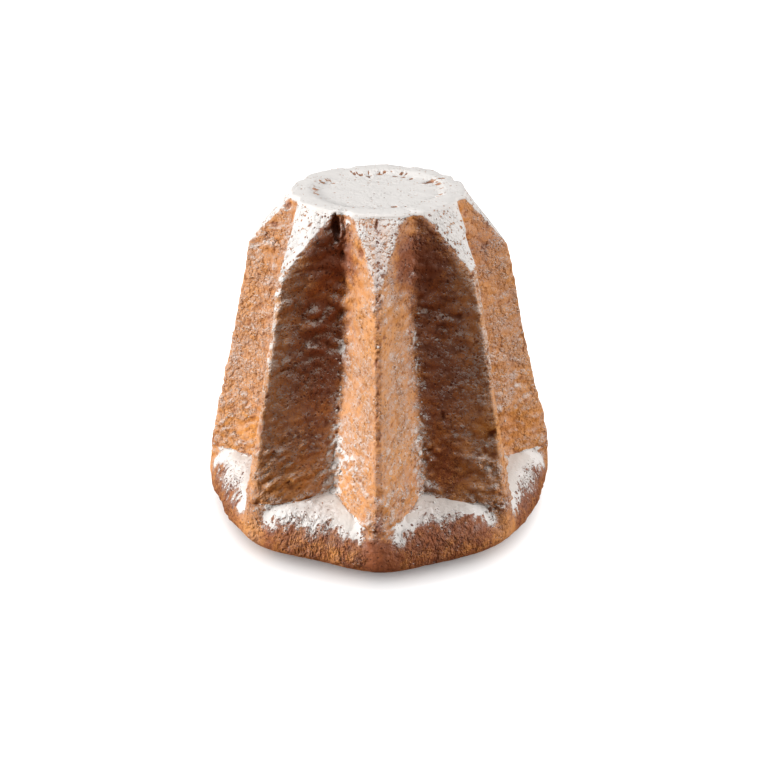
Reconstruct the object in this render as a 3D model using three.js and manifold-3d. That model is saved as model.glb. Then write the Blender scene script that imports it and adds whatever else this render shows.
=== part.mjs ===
// A pandoro: a tall sweet loaf baked in a star-shaped tin and stood on the side that rose.
//
// It is one solid. Eight ribs lean in as they go up. A slanting facet cuts the top off each rib and
// runs up to a round disc with a shallow recess. Below, the dough swelled over the rim of the tin, so
// the ribs come down into a rounded eight-cornered foot with a shelf in each valley.
//
// Units are millimetres, +Z is up, and the origin is on the floor under the middle of the loaf. Azimuth
// 0 points along -Y, at the viewer, and rib 0 stands there. The surface is a grid: columns go round the
// loaf and levels go from the middle of the base, out over the foot and up to the middle of the disc.

import * as THREE from "three";
import { ParametricGeometry } from "three/addons/geometries/ParametricGeometry.js";
import { mergeVertices } from "three/addons/utils/BufferGeometryUtils.js";
import Module from "manifold-3d";

// ---- Driving dimensions ------------------------------------------------------------------------

const HEIGHT = 205;
const RIBS = 8;
const HALF_RIB = Math.PI / RIBS; // from a ridge to the valley beside it

const DISC = { radius: 48.4, edgeRound: 2.4 }; // the disc on top, and how its rim turns over
const RECESS = { radius: 35, depth: 1.6, slope: 3.2 };

const SHOULDER = { radius: 75.4, z: 172 }; // where a facet ends in a point on its ridge
const RIDGE_FOOT = { radius: 106.2, z: 41 };
const RIDGE_WIDEST = { radius: 107.6, z: 20 };

const VALLEY_TOP_RADIUS = 48.4;
const VALLEY_FOOT = { radius: 71.8, z: 40.4 };
const VALLEY_HOLLOW = 5; // how far a valley bows in between its ends

// How blunt ridges and valleys are at the foot and higher up, and how deep each ridge is cut to a
// narrow flat strip on the wall and near the shoulder.
const RIDGE_ROUND = { foot: 9, wall: 0.9 };
const RIDGE_CUT = { wall: 1.8, shoulder: 2.7, edgeRound: 0.6 };
const VALLEY_ROUND = { foot: 6, wall: 2.2 };
const FACET_EDGE_ROUND = 1.4;
const FACET_FLATNESS = 0.5; // 1 is a flat facet, 0 is part of a cone
const FACE_SWELL = { height: 2.6, top: 62 }; // faces bow out just above the shelf

const FOOT = {
  flatRadius: 72, // the flat that the loaf stands on
  underside: 1.62, // the power that rounds the underside: 2 is an ellipse, 1 a straight slant
  widest: { radius: 106.6, z: 17.5 },
  shelfEdge: { radius: 90, z: 39 }, // where the foot's shoulder turns into the shelf
  straightness: 0.029, // how much closer the middle of a side is than a corner
  merge: 2.6, // how softly ribs and foot run together
};

const SWAY = 0.9; // slow unevenness of the whole crust
const RIPPLE = 0.35; // quicker unevenness of the walls

// Places where the dough swelled more: rib (half numbers lie in a valley), height, reach, thickness.
const SWELLINGS = [
  { rib: -1.4, z: 8, reach: 20, height: 2.2 },
  { rib: -0.85, z: 7, reach: 15, height: 1.7 },
  { rib: 1.95, z: 52, reach: 24, height: 1.4 },
  { rib: 3.4, z: 14, reach: 22, height: 1.6 },
  { rib: -0.72, z: 44, reach: 15, height: 3.2 },
  { rib: 0.66, z: 44, reach: 13, height: 2.8 },
  { rib: -2, z: 182, reach: 20, height: 2.6 },
  { rib: -1.8, z: 10, reach: 16, height: 1.8 },
  { rib: 1.5, z: 9, reach: 22, height: 2.6 },
];

// The pores too large to be texture: rib, height, and half sizes across the crust, along it, into it.
const PORES = [
  { rib: -0.6, z: 195, across: 2.6, along: 7.5, into: 4.6 },
  { rib: -0.2, z: 186, across: 2.6, along: 2.2, into: 1.4 },
  { rib: 0, z: 143, across: 1.2, along: 1.8, into: 1.0 },
  { rib: 0, z: 134, across: 1.4, along: 2.3, into: 1.2 },
  { rib: 0.01, z: 117, across: 1.4, along: 2.0, into: 1.1 },
  { rib: -0.01, z: 104, across: 1.2, along: 1.9, into: 1.0 },
  { rib: 0.96, z: 81.5, across: 2.4, along: 3.3, into: 2.2 },
  { rib: 0.95, z: 68, across: 2.2, along: 2.4, into: 1.7 },
  { rib: 3.97, z: 126, across: 2.3, along: 3.4, into: 2.2 },
  { rib: -2.98, z: 96, across: 2.2, along: 3.1, into: 2.0 },
];

// ---- Mesh density ------------------------------------------------------------------------------

const COLUMNS_PER_RIB = 16;
const COLUMN_CROWDING = 0.5; // columns draw together at ridges, valleys and facet edges
const EDGE_MARGIN = 0.14; // the closest that the middle column comes to a ridge or a valley
const COLUMN_BEND = 55; // how far below the shoulder the middle column starts to lean
const BASE_STEPS = 1;
const BULGE_STEPS = 6;
const BROW_STEPS = 5;
const SHELF_STEPS = 2;
const WALL_STEPS = 9;
const FACET_STEPS = 6;
const DISC_EDGE_STEPS = 2;
const DISC_CIRCLES = [42, 38.2, 37.2, 36, 35, 18, 0]; // radii
const PORE_SIDES = 8;
const PORE_RINGS = 6;

// ---- Small helpers -----------------------------------------------------------------------------

const { lerp, clamp, smoothstep } = THREE.MathUtils;

const softMax = (a, b, k) => (a + b + Math.hypot(a - b, k)) / 2;
const softMin = (a, b, k) => (a + b - Math.hypot(a - b, k)) / 2;

/** The height on a quarter of an oval, from 1 at share 0 to 0 at share 1. A power of 2 is an ellipse. */
function quarterOval(share, power = 2) {
  return (1 - clamp(share, 0, 1) ** power) ** (1 / power);
}

/** The angle from the nearest ridge, from 0 on it to HALF_RIB in the valley. */
function angleFromRidge(azimuth) {
  const ribs = azimuth / (2 * HALF_RIB);
  return Math.abs(ribs - Math.round(ribs)) * 2 * HALF_RIB;
}

/** How far the crust lies off its regular shape at a place. */
function unevenness(azimuth, z) {
  const slow = Math.sin(4 * azimuth) * Math.cos(azimuth - 0.7 + z / 190);
  const quick = Math.sin(17 * azimuth + z / 19) * Math.sin(z / 13 + 5 * azimuth);
  const swollen = SWELLINGS.reduce((sum, { rib, z: middle, reach, height }) => {
    const turn = Math.sin(azimuth / 2 - rib * HALF_RIB);
    const along = 2 * turn * FOOT.widest.radius;
    return sum + height * Math.exp(-((along / reach) ** 2) - ((z - middle) / reach) ** 2);
  }, 0);
  return SWAY * slow + RIPPLE * quick + swollen;
}

// ---- The star that the tin gives ---------------------------------------------------------------

/** A ridge's distance from the axis: straight up the wall, and curling under at the foot. */
function ridgeRadius(z) {
  if (z < RIDGE_WIDEST.z) {
    const out = quarterOval(1 - z / RIDGE_WIDEST.z, FOOT.underside);
    return lerp(FOOT.flatRadius, RIDGE_WIDEST.radius, out);
  }
  if (z < RIDGE_FOOT.z) {
    const share = smoothstep(z, RIDGE_WIDEST.z, RIDGE_FOOT.z);
    return lerp(RIDGE_WIDEST.radius, RIDGE_FOOT.radius, share);
  }
  const slope = (RIDGE_FOOT.radius - SHOULDER.radius) / (SHOULDER.z - RIDGE_FOOT.z);
  return RIDGE_FOOT.radius - slope * (z - RIDGE_FOOT.z);
}

/** A valley's distance from the axis: it bows in a little between the shelf and the disc. */
function valleyRadius(z) {
  const share = clamp((z - VALLEY_FOOT.z) / (HEIGHT - VALLEY_FOOT.z), 0, 1);
  const straight = lerp(VALLEY_FOOT.radius, VALLEY_TOP_RADIUS, share);
  return straight - VALLEY_HOLLOW * Math.sin(Math.PI * share);
}

/** The star's radius at a height: flat faces between rounded valleys and ridges cut to strips. */
function starRadius(azimuth, z) {
  const ridge = ridgeRadius(z);
  const valley = valleyRadius(z);
  const nearFoot = 1 - smoothstep(z, VALLEY_FOOT.z, VALLEY_FOOT.z + 40);
  const nearShoulder = smoothstep(z, SHOULDER.z - 60, SHOULDER.z);
  const cut = lerp(RIDGE_CUT.wall, RIDGE_CUT.shoulder, nearShoulder) * (1 - nearFoot);
  const tip = ridge + cut;
  const ridgeTurn = lerp(RIDGE_ROUND.wall, RIDGE_ROUND.foot, nearFoot) / tip;
  const valleyTurn = lerp(VALLEY_ROUND.wall, VALLEY_ROUND.foot, nearFoot) / valley;
  const blunted = (angle) =>
    HALF_RIB - Math.hypot(HALF_RIB - Math.hypot(angle, ridgeTurn), valleyTurn);

  // One over the radius of a straight line is a mix of two sines of the angle. The mix is chosen so
  // that the blunted ridge and valley still lie at their own distances.
  const atRidge = blunted(0);
  const atValley = blunted(HALF_RIB);
  const [a, b] = [Math.sin(HALF_RIB - atRidge), Math.sin(atRidge)];
  const [c, d] = [Math.sin(HALF_RIB - atValley), Math.sin(atValley)];
  const outer = (d / tip - b / valley) / (a * d - b * c);
  const inner = (a / valley - c / tip) / (a * d - b * c);
  const fromRidge = angleFromRidge(azimuth);
  const angle = blunted(fromRidge);
  const line = 1 / (outer * Math.sin(HALF_RIB - angle) + inner * Math.sin(angle));
  const strip = ridge / Math.cos(fromRidge);

  const swell = FACE_SWELL.height * (1 - smoothstep(z, VALLEY_FOOT.z, FACE_SWELL.top));
  return softMin(line, strip, RIDGE_CUT.edgeRound) + swell * Math.sin((Math.PI * fromRidge) / HALF_RIB);
}

/** The slanting facet across the top of the nearest rib. */
function facetRadius(azimuth, z) {
  const slope = (SHOULDER.radius - DISC.radius) / (HEIGHT - SHOULDER.z);
  const onRidge = DISC.radius + slope * (HEIGHT - z);
  return onRidge / Math.cos(angleFromRidge(azimuth)) ** FACET_FLATNESS;
}

/** Where a facet's edge crosses a height, as a share of the way from its ridge to the valley. */
function facetEdge(z) {
  let onFacet = 0;
  let onFace = 1;
  while (onFace - onFacet > 1e-4) {
    const middle = (onFacet + onFace) / 2;
    const azimuth = middle * HALF_RIB;
    if (facetRadius(azimuth, z) < starRadius(azimuth, z)) onFacet = middle;
    else onFace = middle;
  }
  return onFacet;
}

/** The wall above the shelf. */
function wallRadius(azimuth, z) {
  const cut = softMin(starRadius(azimuth, z), facetRadius(azimuth, z), FACET_EDGE_ROUND);
  return cut + unevenness(azimuth, z);
}

// ---- The foot that rose over the tin -----------------------------------------------------------

/** The foot's radius at a corner: a low bulge below, and a softer brow up to the shelf. */
function footProfile(z) {
  const { widest, shelfEdge, flatRadius, underside } = FOOT;
  if (z < widest.z) {
    return lerp(flatRadius, widest.radius, quarterOval(1 - z / widest.z, underside));
  }
  const share = (z - widest.z) / (shelfEdge.z - widest.z);
  return lerp(shelfEdge.radius, widest.radius, quarterOval(share));
}

/** The outside of the foot, with the ribs running down into it. */
function footRadius(azimuth, z) {
  const plan = 1 - (FOOT.straightness * (1 - Math.cos(RIBS * azimuth))) / 2;
  const merged = softMax(footProfile(z) * plan, starRadius(azimuth, z), FOOT.merge);
  return merged + unevenness(azimuth, z) * smoothstep(z, 0, FOOT.widest.z / 2);
}

// ---- Levels from the base to the disc ----------------------------------------------------------

/** Where the middle column between a ridge and a valley stands: on the facet's edge, high up. */
function middleColumn(z) {
  if (z > SHOULDER.z) return clamp(facetEdge(z), EDGE_MARGIN, 1 - EDGE_MARGIN);
  return lerp(0.5, EDGE_MARGIN, smoothstep(z, SHOULDER.z - COLUMN_BEND, SHOULDER.z));
}

/** All levels in order. Each gives its middle column, and radius and height at any azimuth. */
function crustLevels() {
  const levels = [];
  const steps = (count, make) => {
    for (let i = 1; i <= count; i++) levels.push(make(i / count));
  };
  const onFoot = (z) => ({ middle: 0.5, at: (azimuth) => [footRadius(azimuth, z), z] });
  const onWall = (z) => ({ middle: middleColumn(z), at: (azimuth) => [wallRadius(azimuth, z), z] });
  const { widest, shelfEdge } = FOOT;
  const rimZ = HEIGHT - DISC.edgeRound;
  const facetFoot = SHOULDER.z - 2;

  levels.push({ middle: 0.5, at: () => [0, 0] });
  steps(BASE_STEPS, (t) => ({ middle: 0.5, at: (azimuth) => [t * footRadius(azimuth, 0), 0] }));
  steps(BULGE_STEPS, (t) => onFoot(widest.z * (1 - Math.cos((t * Math.PI) / 2))));
  steps(BROW_STEPS, (t) => onFoot(lerp(widest.z, shelfEdge.z, Math.sin((t * Math.PI) / 2))));
  steps(SHELF_STEPS, (t) => ({
    middle: 0.5,
    at: (azimuth) => [
      lerp(footRadius(azimuth, shelfEdge.z), wallRadius(azimuth, VALLEY_FOOT.z), t),
      lerp(shelfEdge.z, VALLEY_FOOT.z, t),
    ],
  }));
  steps(WALL_STEPS, (t) => onWall(lerp(VALLEY_FOOT.z, facetFoot, t)));
  steps(FACET_STEPS, (t) => onWall(lerp(facetFoot, rimZ, t)));
  steps(DISC_EDGE_STEPS, (t) => {
    const turn = (t * Math.PI) / 2;
    const inward = DISC.edgeRound * (1 - Math.cos(turn));
    const z = rimZ + DISC.edgeRound * Math.sin(turn);
    return { middle: middleColumn(rimZ), at: (azimuth) => [wallRadius(azimuth, rimZ) - inward, z] };
  });
  for (const radius of DISC_CIRCLES) levels.push(onDisc(radius));
  return levels;
}

/** A circle on the disc, which is sunk inside the recess. */
function onDisc(radius) {
  const sunk = smoothstep(RECESS.radius + RECESS.slope - radius, 0, RECESS.slope);
  const z = HEIGHT - RECESS.depth * sunk;
  return { middle: 0.5, at: () => [radius, z] };
}

// ---- Solids ------------------------------------------------------------------------------------

/** Azimuth of a column. Columns stand closer together at ridges, at valleys and at the middle one. */
function columnAzimuth(share, middle) {
  const halves = share * 2 * RIBS;
  const half = Math.floor(halves);
  const part = halves - half;
  const fromRidge = half % 2 === 0 ? part : 1 - part;
  const crowded = fromRidge - (COLUMN_CROWDING * Math.sin(2 * Math.PI * fromRidge)) / (2 * Math.PI);
  const bent =
    crowded < 0.5 ? 2 * crowded * middle : lerp(middle, 1, 2 * crowded - 1);
  return (half % 2 === 0 ? half + bent : half + 1 - bent) * HALF_RIB;
}

/** The crust as one closed grid. */
function crustGeometry() {
  const levels = crustLevels();
  const place = (u, v, target) => {
    const { middle, at } = levels[Math.round(v * (levels.length - 1))];
    const azimuth = columnAzimuth(u % 1, middle);
    const [radius, z] = at(azimuth);
    target.set(radius * Math.sin(azimuth), -radius * Math.cos(azimuth), z);
  };
  return new ParametricGeometry(place, RIBS * COLUMNS_PER_RIB, levels.length - 1);
}

/** A pore: an ellipsoid whose middle lies on the crust, turned to face straight out of it. */
function poreGeometry({ rib, z, across, along, into }) {
  const azimuth = rib * 2 * HALF_RIB;
  const radius = wallRadius(azimuth, z);
  const lean = Math.atan2(wallRadius(azimuth, z - 3) - wallRadius(azimuth, z + 3), 6);
  return new THREE.SphereGeometry(1, PORE_SIDES, PORE_RINGS)
    .scale(across, into, along)
    .rotateX(-lean)
    .translate(0, -radius, z)
    .rotateZ(azimuth);
}

const manifold = await Module();
manifold.setup();

/** A closed three.js geometry as a manifold-3d solid. */
function solidOf(geometry) {
  const bare = new THREE.BufferGeometry().setAttribute("position", geometry.attributes.position);
  bare.setIndex(geometry.index);
  const merged = mergeVertices(bare, 1e-3);
  return new manifold.Manifold(
    new manifold.Mesh({
      numProp: 3,
      vertProperties: merged.attributes.position.array,
      triVerts: new Uint32Array(merged.index.array),
    }),
  );
}

/** A manifold-3d solid as a three.js geometry. */
function geometryOf(solid) {
  const { vertProperties, triVerts } = solid.getMesh();
  const geometry = new THREE.BufferGeometry()
    .setAttribute("position", new THREE.BufferAttribute(vertProperties, 3))
    .setIndex(new THREE.BufferAttribute(triVerts, 1));
  geometry.computeVertexNormals();
  return geometry;
}

/** The whole loaf: the crust with its largest pores sunk in. */
function pandoro() {
  const solid = PORES.reduce(
    (loaf, pore) => loaf.subtract(solidOf(poreGeometry(pore))),
    solidOf(crustGeometry()),
  );
  const crust = new THREE.MeshStandardMaterial({ color: 0xb87338, roughness: 0.85, metalness: 0 });
  const mesh = new THREE.Mesh(geometryOf(solid), crust);
  mesh.name = "pandoro";
  return mesh;
}

const group = new THREE.Group();
group.add(pandoro());

export default group;
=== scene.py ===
"""The looks of a pandoro: a tall star-shaped sweet loaf, dusted with icing sugar.

The crust is shaped here again from the sizes of the solid, at a finer step, with the lumps, creases,
pores and torn places that baking left. Icing sugar lies on it in three ways. Dust is part of the
crust's finish, which whitens the places where powder stays when it falls from above. Drifts lie on
the eight shelves of the foot. Clumps are scattered in the valleys and on the shelves.

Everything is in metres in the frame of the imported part. The loaf's own sizes are in millimetres of a
loaf 205 mm tall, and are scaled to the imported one. +Z is up. Azimuth 0 points along -Y, at the camera,
and rib 0 stands there. A place on the crust is a rib number, half of one in a valley, and a height.
"""

import logging
import math
from collections.abc import Callable
from dataclasses import dataclass
from enum import Enum

import bmesh
import bpy
import numpy as np
from mathutils import Matrix, Vector, noise


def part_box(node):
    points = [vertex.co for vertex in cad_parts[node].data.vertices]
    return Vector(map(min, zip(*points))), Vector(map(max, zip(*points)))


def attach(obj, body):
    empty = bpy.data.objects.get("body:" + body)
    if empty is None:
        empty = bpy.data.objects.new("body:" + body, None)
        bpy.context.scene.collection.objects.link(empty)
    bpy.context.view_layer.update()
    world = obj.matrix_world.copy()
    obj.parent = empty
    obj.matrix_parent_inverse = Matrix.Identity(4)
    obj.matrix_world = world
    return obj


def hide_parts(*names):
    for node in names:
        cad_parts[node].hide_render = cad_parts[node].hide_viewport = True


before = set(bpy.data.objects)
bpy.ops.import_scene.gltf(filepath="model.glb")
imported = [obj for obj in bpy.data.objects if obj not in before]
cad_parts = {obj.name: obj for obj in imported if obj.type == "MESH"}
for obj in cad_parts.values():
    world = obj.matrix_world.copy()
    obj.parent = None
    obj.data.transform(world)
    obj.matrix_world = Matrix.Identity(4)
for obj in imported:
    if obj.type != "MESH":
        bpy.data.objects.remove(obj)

Array = np.ndarray
Pair = tuple[float, float]
log = logging.getLogger("pandoro")
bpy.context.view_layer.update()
SEED = 1894
SEED_STRIDE = 31.7
PILLOW_GAIN = 1.6
TINY = 1e-9
MERGE_DISTANCE = 1e-6


class Slot(Enum):
    """The record's material slots."""

    CRUST = "crust"
    SUGAR = "icing_sugar"


class Zone(Enum):
    """Bands of the crust from the middle of the base to the middle of the disc."""

    BASE = 0
    BULGE = 1
    BROW = 2
    SHELF = 3
    WALL = 4
    FACET = 5
    RIM = 6
    DISC = 7


# ---- Small helpers ----


def mix(a: Array, b: Array, share: Array) -> Array:
    """Returns what lies a share of the way from a to b."""
    return a + (b - a) * share


def step(x: Array, low: float, high: float) -> Array:
    """Returns a smooth step from 0 at low to 1 at high."""
    t = np.clip((x - low) / (high - low), 0.0, 1.0)
    return t * t * (3.0 - 2.0 * t)


def fall(x: Array, low: float, high: float) -> Array:
    """Returns a smooth step from 1 at low down to 0 at high."""
    return 1.0 - step(x, low, high)


def bell(x: Array, middle: float, width: float) -> Array:
    """Returns 1 at the middle, fading out on both sides."""
    return np.exp(-(((x - middle) / width) ** 2))


def soft_max(a: Array, b: Array, width: float) -> Array:
    """Returns the larger of two values, rounded where they meet."""
    return (a + b + np.hypot(a - b, width)) / 2.0


def soft_min(a: Array, b: Array, width: float) -> Array:
    """Returns the smaller of two values, rounded where they meet."""
    return (a + b - np.hypot(a - b, width)) / 2.0


def quarter_oval(share: Array, power: float = 2.0) -> Array:
    """Returns the height on a quarter of an oval, from 1 at share 0 to 0 at share 1."""
    return (1.0 - np.clip(share, 0.0, 1.0) ** power) ** (1.0 / power)


def polar(radius: Array, azimuth: Array, z: Array) -> Array:
    """Returns places from distances from the axis, azimuths and heights."""
    return np.stack([radius * np.sin(azimuth), -radius * np.cos(azimuth), z], -1)


def along_levels(places: Array) -> Array:
    """Returns the way round the loaf at each place of a grid."""
    return np.roll(places, -1, 1) - np.roll(places, 1, 1)


def unit_vectors(vectors: Array) -> Array:
    """Returns vectors made one long."""
    return vectors / np.maximum(np.linalg.norm(vectors, axis=-1, keepdims=True), TINY)


def grid_normals(places: Array) -> Array:
    """Returns the outward directions of a grid that is closed round the loaf."""
    normal = np.cross(along_levels(places), np.gradient(places, axis=0))
    normal[0], normal[-1] = (0.0, 0.0, -1.0), (0.0, 0.0, 1.0)
    return unit_vectors(normal)


@dataclass(frozen=True)
class Ripple:
    """Smooth noise on the crust.

    Attributes:
        size: how far apart its bumps lie.
        seed: which noise it is.
        height: how high they are.
        tall: how many times taller than wide they are.
    """

    size: float
    seed: float
    height: float = 1.0
    tall: float = 1.0

    def values(self, points: Array) -> Array:
        """Returns values from about -1 to 1 for places in millimetres, in rows of three."""
        scaled = points / (self.size * np.array((1.0, 1.0, self.tall))) + SEED_STRIDE * self.seed
        flat = [noise.noise(row) for row in scaled.reshape(-1, 3).tolist()]
        return np.array(flat).reshape(points.shape[:-1])

    def bumps(self, points: Array) -> Array:
        """Returns soft bumps and hollows."""
        return self.height * self.values(points)

    def creases(self, points: Array, level: float = 0.4) -> Array:
        """Returns pillows with sharp creases between them, set down by a share of their height."""
        return self.height * (np.abs(self.values(points)) * PILLOW_GAIN - level)


# ---- The loaf's regular form ----


@dataclass(frozen=True)
class Patch:
    """A place on the crust, how far it reaches, and how much of something there is.

    Attributes:
        rib: rib number, half numbers lie in a valley.
        z: height.
        reach: how far it fades out round the loaf.
        amount: how much there is at its middle.
        rise: how far it fades out in height, the same as reach where this is 0.
    """

    rib: float
    z: float
    reach: float
    amount: float
    rise: float = 0.0

    def spread(self, azimuth: Array, z: Array, radius: Array) -> Array:
        """Returns the amount at places, fading out from the middle."""
        along = 2.0 * np.sin(azimuth / 2.0 - self.rib * math.pi / 8.0) * radius
        rise = self.rise or self.reach
        return self.amount * np.exp(-((along / self.reach) ** 2) - ((z - self.z) / rise) ** 2)


def made_of(kind: type, *rows: tuple[float, ...]) -> tuple:
    """Returns things of one kind, one from each row of its numbers."""
    return tuple(kind(*row) for row in rows)


@dataclass(frozen=True)
class LoafShape:
    """The loaf's form in millimetres: a star that leans in, cut by facets, on a rounded foot."""

    height: float = 205.0
    ribs: int = 8
    disc_radius: float = 48.4
    disc_edge_round: float = 2.4
    recess_radius: float = 35.0
    recess_depth: float = 1.6
    recess_slope: float = 3.2
    shoulder: Pair = (75.4, 172.0)
    ridge_foot: Pair = (106.2, 41.0)
    ridge_widest: Pair = (107.6, 20.0)
    valley_top_radius: float = 48.4
    valley_foot: Pair = (71.8, 40.4)
    valley_hollow: float = 5.0
    ridge_round_foot: float = 9.0
    ridge_round_wall: float = 0.9
    ridge_cut_wall: float = 1.8
    ridge_cut_shoulder: float = 2.7
    ridge_cut_round: float = 0.6
    valley_round_foot: float = 6.0
    valley_round_wall: float = 2.2
    foot_blend: float = 40.0
    shoulder_blend: float = 60.0
    facet_edge_round: float = 1.4
    facet_flatness: float = 0.5
    face_swell: float = 2.6
    face_swell_top: float = 62.0
    flat_radius: float = 72.0
    underside_power: float = 1.62
    foot_widest: Pair = (106.6, 17.5)
    shelf_edge: Pair = (90.0, 39.0)
    straightness: float = 0.029
    merge: float = 2.6
    sway: float = 0.9
    ripple: float = 0.35
    swellings: tuple[Patch, ...] = made_of(
        Patch,
        (-1.4, 8, 20, 2.2), (-0.85, 7, 15, 1.7), (1.95, 52, 24, 1.4), (3.4, 14, 22, 1.6),
        (-0.72, 44, 15, 3.2), (0.66, 44, 13, 2.8), (-2, 182, 20, 2.6),
        (-1.8, 10, 16, 1.8), (1.5, 9, 22, 2.6),
    )

    @property
    def half_rib(self) -> float:
        """The angle from a ridge to the valley beside it."""
        return math.pi / self.ribs

    def azimuth_of(self, rib: float) -> float:
        """Returns the azimuth of a rib number."""
        return rib * 2.0 * self.half_rib

    def angle_from_ridge(self, azimuth: Array) -> Array:
        """Returns the angle from the nearest ridge, at most half a rib."""
        ribs = azimuth / (2.0 * self.half_rib)
        return np.abs(ribs - np.round(ribs)) * 2.0 * self.half_rib

    def unevenness(self, azimuth: Array, z: Array) -> Array:
        """Returns how far the crust lies off its regular form."""
        slow = np.sin(4.0 * azimuth) * np.cos(azimuth - 0.7 + z / 190.0)
        quick = np.sin(17.0 * azimuth + z / 19.0) * np.sin(z / 13.0 + 5.0 * azimuth)
        swollen = sum(patch.spread(azimuth, z, self.foot_widest[0]) for patch in self.swellings)
        return self.sway * slow + self.ripple * quick + swollen

    def underside(self, z: Array, widest: Pair) -> Array:
        """Returns the distance of the rounded underside, from the flat out to its widest place."""
        return mix(self.flat_radius, widest[0], quarter_oval(1.0 - z / widest[1], self.underside_power))

    def plan(self, azimuth: Array) -> Array:
        """Returns how far out the foot goes, as a share: a little less between the ribs."""
        return 1.0 - self.straightness * (1.0 - np.cos(self.ribs * azimuth)) / 2.0

    def ridge_radius(self, z: Array) -> Array:
        """Returns a ridge's distance from the axis."""
        (wide, low), (foot, high) = self.ridge_widest, self.ridge_foot
        bulge = mix(wide, foot, step(z, low, high))
        slope = (foot - self.shoulder[0]) / (self.shoulder[1] - high)
        above = np.where(z < high, bulge, foot - slope * (z - high))
        return np.where(z < low, self.underside(z, self.ridge_widest), above)

    def valley_radius(self, z: Array) -> Array:
        """Returns a valley's distance from the axis."""
        radius, low = self.valley_foot
        share = np.clip((z - low) / (self.height - low), 0.0, 1.0)
        bow = self.valley_hollow * np.sin(math.pi * share)
        return mix(radius, self.valley_top_radius, share) - bow

    def star_radius(self, azimuth: Array, z: Array) -> Array:
        """Flat faces between rounded valleys and ridges that are cut to narrow strips.

        Args:
            azimuth: angles round the loaf.
            z: heights.

        Returns:
            The star's distances from the axis.
        """
        ridge, valley, half = self.ridge_radius(z), self.valley_radius(z), self.half_rib
        low = self.valley_foot[1]
        near_foot = fall(z, low, low + self.foot_blend)
        near_shoulder = step(z, self.shoulder[1] - self.shoulder_blend, self.shoulder[1])
        cut = mix(self.ridge_cut_wall, self.ridge_cut_shoulder, near_shoulder) * (1.0 - near_foot)
        tip = ridge + cut
        ridge_turn = mix(self.ridge_round_wall, self.ridge_round_foot, near_foot) / tip
        valley_turn = mix(self.valley_round_wall, self.valley_round_foot, near_foot) / valley

        def blunted(angle: Array) -> Array:
            """Returns the angle from the ridge with both ends rounded off."""
            return half - np.hypot(half - np.hypot(angle, ridge_turn), valley_turn)

        at_ridge, at_valley = blunted(0.0), blunted(half)
        a, b = np.sin(half - at_ridge), np.sin(at_ridge)
        c, d = np.sin(half - at_valley), np.sin(at_valley)
        outer = (d / tip - b / valley) / (a * d - b * c)
        inner = (a / valley - c / tip) / (a * d - b * c)
        from_ridge = self.angle_from_ridge(azimuth)
        angle = blunted(from_ridge)
        line = 1.0 / (outer * np.sin(half - angle) + inner * np.sin(angle))
        strip = ridge / np.cos(from_ridge)
        swell = self.face_swell * fall(z, low, self.face_swell_top)
        return soft_min(line, strip, self.ridge_cut_round) + swell * np.sin(math.pi * from_ridge / half)

    def facet_radius(self, azimuth: Array, z: Array) -> Array:
        """Returns the distance of the slanting facet across the top of the nearest rib."""
        slope = (self.shoulder[0] - self.disc_radius) / (self.height - self.shoulder[1])
        on_ridge = self.disc_radius + slope * (self.height - z)
        return on_ridge / np.cos(self.angle_from_ridge(azimuth)) ** self.facet_flatness

    def facet_edge(self, z: float) -> float:
        """Returns where a facet's edge crosses a height, as a share of the way to the valley."""
        shares = np.linspace(0.0, 1.0, 2000)
        azimuth = shares * self.half_rib
        height = np.full_like(azimuth, z)
        on_face = self.facet_radius(azimuth, height) >= self.star_radius(azimuth, height)
        return float(shares[np.argmax(on_face)]) if on_face.any() else 1.0

    def wall_radius(self, azimuth: Array, z: Array) -> Array:
        """Returns the distance of the wall above the shelf."""
        star, facet = self.star_radius(azimuth, z), self.facet_radius(azimuth, z)
        return soft_min(star, facet, self.facet_edge_round) + self.unevenness(azimuth, z)

    def foot_radius(self, azimuth: Array, z: Array) -> Array:
        """Returns the distance of the foot, with the ribs running down into it."""
        (wide, low), (edge, high) = self.foot_widest, self.shelf_edge
        brow = mix(edge, wide, quarter_oval((z - low) / (high - low)))
        ring = np.where(z < low, self.underside(z, self.foot_widest), brow) * self.plan(azimuth)
        merged = soft_max(ring, self.star_radius(azimuth, z), self.merge)
        return merged + self.unevenness(azimuth, z) * step(z, 0.0, low / 2.0)

    def shelf_height(self, azimuth: Array, radius: Array) -> Array:
        """Returns how high the shelf and the brow of the foot lie between the ribs."""
        (wide, low), (edge, high) = self.foot_widest, self.shelf_edge
        own = (radius - self.unevenness(azimuth, np.full_like(radius, high))) / self.plan(azimuth)
        over = np.clip((own - edge) / (wide - edge), 0.0, 0.98)
        inward = np.clip((edge - own) / (edge - self.valley_foot[0]), 0.0, 1.5)
        shelf = high + (self.valley_foot[1] - high) * inward
        return np.where(own > edge, low + (high - low) * np.sqrt(1.0 - over**2), shelf)


# ---- The crust's grid ----


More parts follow.
